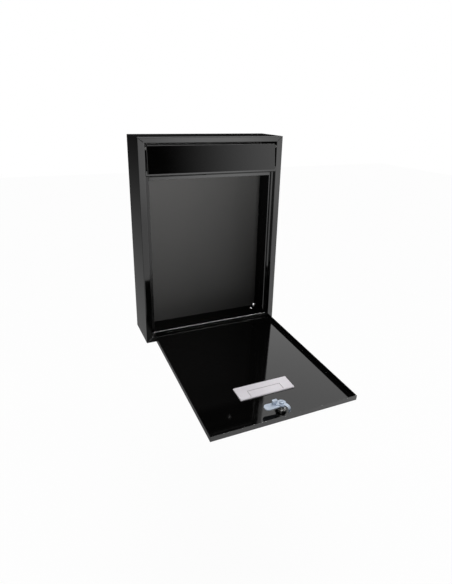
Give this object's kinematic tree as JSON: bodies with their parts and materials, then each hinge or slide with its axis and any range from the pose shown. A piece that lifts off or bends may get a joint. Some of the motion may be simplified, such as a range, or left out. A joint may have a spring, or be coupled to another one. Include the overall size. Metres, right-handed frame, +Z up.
{
  "type": "parcel drop box",
  "caption": "Wall-hung steel drop box with a top-hinged letter flap, a bottom-hinged door shown open, a name plate and a cam lock.",
  "frame": {"origin": "midway between the two wall-screw holes, on the rear face that meets the wall", "axes": "+Y out of the back into the wall, so the door and flap face -Y; +Z up; +X to the right as seen from in front"},
  "size_m": [0.3, 0.4171, 0.4186],
  "materials": {
    "gloss_black_paint": "high gloss stove enamel on sheet steel",
    "white_plastic": "satin moulded, faintly lilac white",
    "clear_plastic": "clear polished pane",
    "card_stock": "uncoated card",
    "zinc_plate": "bright bluish zinc plating",
    "nickel_plate": "polished nickel",
    "steel_pin": "plain turned steel",
    "nylon": "grey nylon",
    "black_nylon": "black nylon"
  },
  "bodies": {
    "cabinet": {"cabinet_shell": "gloss_black_paint", "back_panel": "gloss_black_paint", "door_stop_left": "gloss_black_paint", "door_stop_right": "gloss_black_paint", "cross_rail": "gloss_black_paint", "door_hinge_pin_left": "gloss_black_paint", "door_hinge_pin_right": "gloss_black_paint", "door_hinge_washers": "black_nylon", "flap_pin_left": "steel_pin", "flap_pin_right": "steel_pin", "flap_bushes": "nylon"},
    "flap": {"letter_flap": "gloss_black_paint"},
    "door": {"door_panel": "gloss_black_paint", "nameplate_back": "white_plastic", "nameplate_window": "clear_plastic", "name_card": "card_stock", "lock_barrel": "nickel_plate", "lock_nut": "gloss_black_paint"},
    "lock_core": {"lock_plug": "nickel_plate", "locking_cam": "zinc_plate", "cam_stop": "zinc_plate", "cam_screw": "zinc_plate"}
  },
  "joints": [
    {"name": "door_hinge", "type": "hinge", "parent": "cabinet", "child": "door", "pos_m": [0, -0.088, -0.36815], "axis": [1, 0, 0], "range_deg": [-92, 0]},
    {"name": "flap_hinge", "type": "hinge", "parent": "cabinet", "child": "flap", "pos_m": [0, -0.088, 0.0127], "axis": [-1, 0, 0], "range_deg": [0, 130]},
    {"name": "lock_turn", "type": "hinge", "parent": "door", "child": "lock_core", "pos_m": [0, -0.39267, -0.36998], "axis": [0, -0.0349, 0.9994], "range_deg": [0, 90]}
  ]
}
